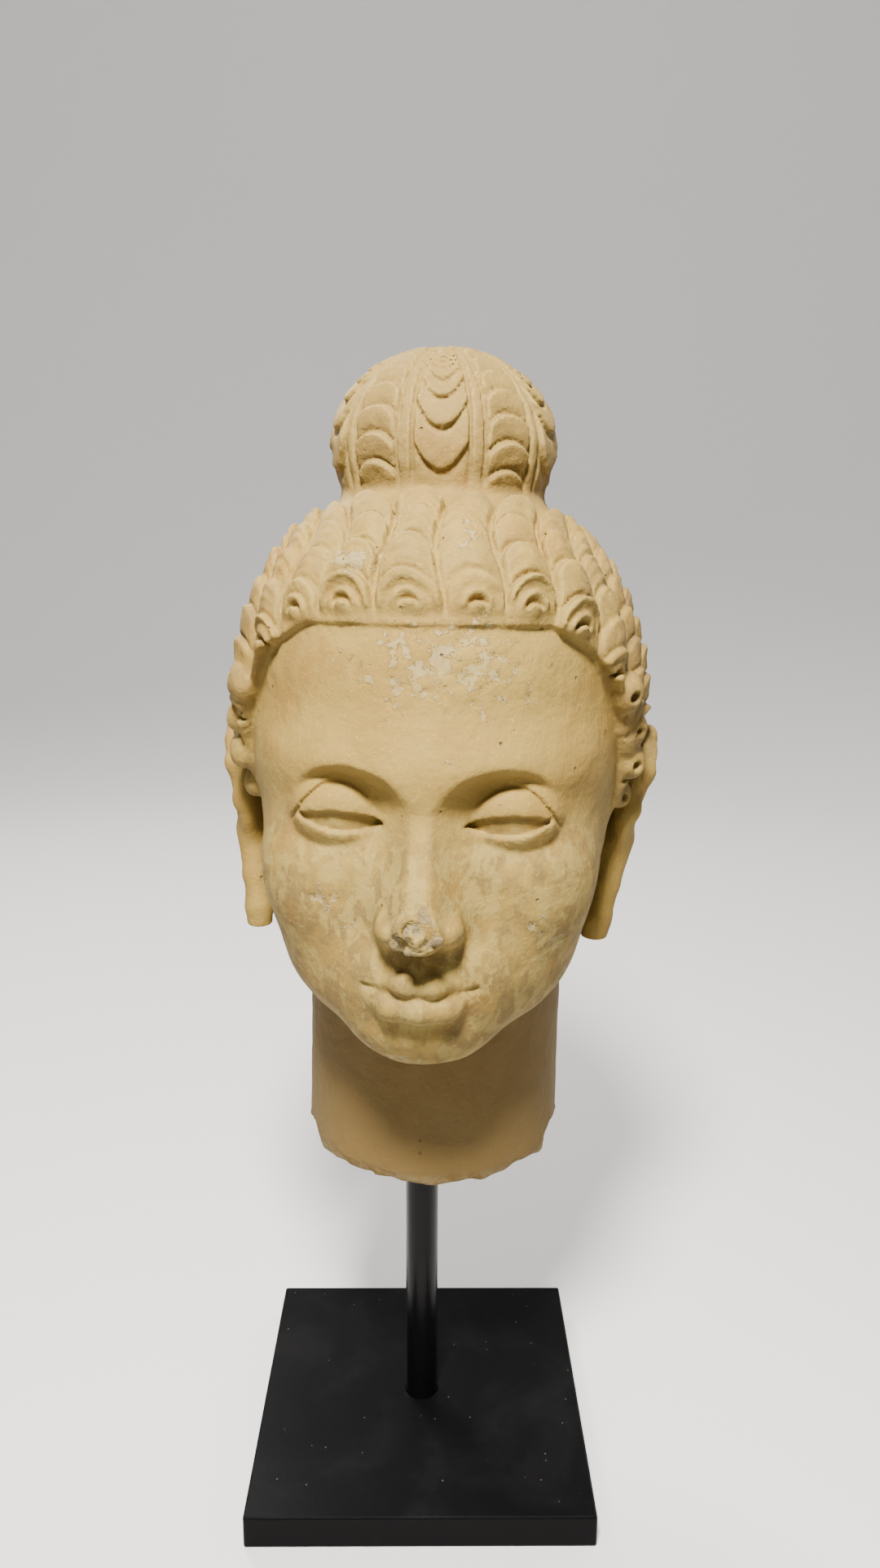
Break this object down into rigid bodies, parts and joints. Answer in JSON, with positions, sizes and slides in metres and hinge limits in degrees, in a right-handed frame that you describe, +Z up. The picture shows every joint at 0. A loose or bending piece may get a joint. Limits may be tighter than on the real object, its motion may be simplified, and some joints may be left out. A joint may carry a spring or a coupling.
{
  "type": "stucco head on stand",
  "caption": "Calm stucco head with a topknot and rows of curled locks, held upright by a round steel post on a square steel plate.",
  "frame": {"origin": "middle of the base plate's underside, on the surface that the stand rests on", "axes": "+Z up along the post, -Y towards the side that the face looks to, +X to the viewer's right"},
  "size_m": [0.1594, 0.1868, 0.4171],
  "materials": {
    "stucco": "matte",
    "black_steel": "satin"
  },
  "bodies": {
    "root": {"head": "stucco", "post": "black_steel", "base_plate": "black_steel"}
  },
  "joints": []
}
